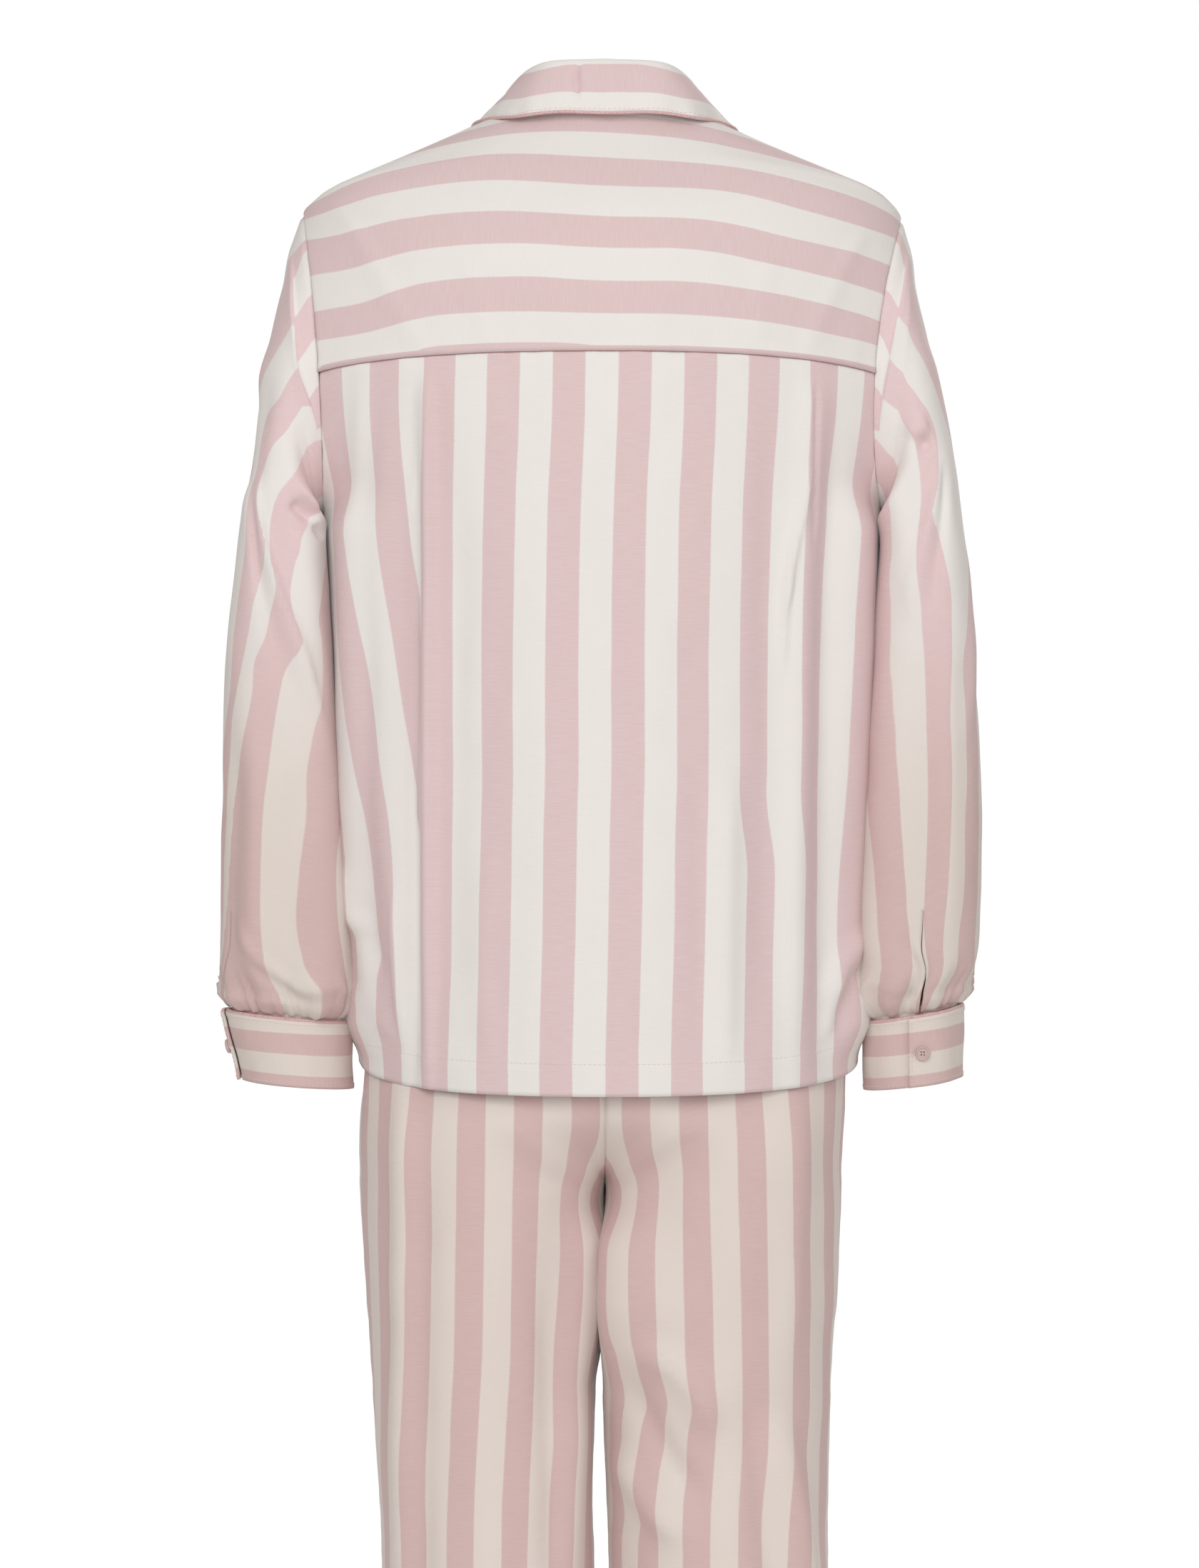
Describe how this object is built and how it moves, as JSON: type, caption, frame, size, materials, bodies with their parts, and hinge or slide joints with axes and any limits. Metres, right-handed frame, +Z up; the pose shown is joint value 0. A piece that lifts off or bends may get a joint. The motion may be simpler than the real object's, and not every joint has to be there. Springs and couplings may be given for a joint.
{
  "type": "pyjama set",
  "caption": "Button-front pyjama jacket with a yoke, turned-down collar and cuffed long sleeves, over straight pyjama trousers; hollow, in the form of being worn.",
  "frame": {"origin": "midway between the wearer's shoulders, at the height of the shoulder line, where the wearer holds the jacket up", "axes": "+Z up; +Y towards the wearer's front; +X towards the wearer's right, so the back of the set faces -Y"},
  "size_m": [0.5224, 0.2717, 1.535],
  "materials": {
    "striped_cotton": "soft matt cotton with cream and pink stripes of about 22 mm each",
    "piping": "pink corded edge, slight sheen",
    "button": "satin pink, four holes"
  },
  "bodies": {
    "root": {"jacket_back": "striped_cotton", "jacket_yoke": "striped_cotton", "jacket_front_left": "striped_cotton", "jacket_front_right": "striped_cotton", "lapel_left": "striped_cotton", "lapel_right": "striped_cotton", "collar": "striped_cotton", "sleeve_left": "striped_cotton", "sleeve_right": "striped_cotton", "cuff_left": "striped_cotton", "cuff_right": "striped_cotton", "trouser_back_left": "striped_cotton", "trouser_back_right": "striped_cotton", "trouser_front_left": "striped_cotton", "trouser_front_right": "striped_cotton", "waistband": "striped_cotton", "collar_piping": "piping", "cuff_piping_left": "piping", "cuff_piping_right": "piping", "front_button_1": "button", "front_button_2": "button", "front_button_3": "button", "front_button_4": "button", "front_button_5": "button", "cuff_button_left": "button", "cuff_button_right": "button"}
  },
  "joints": []
}
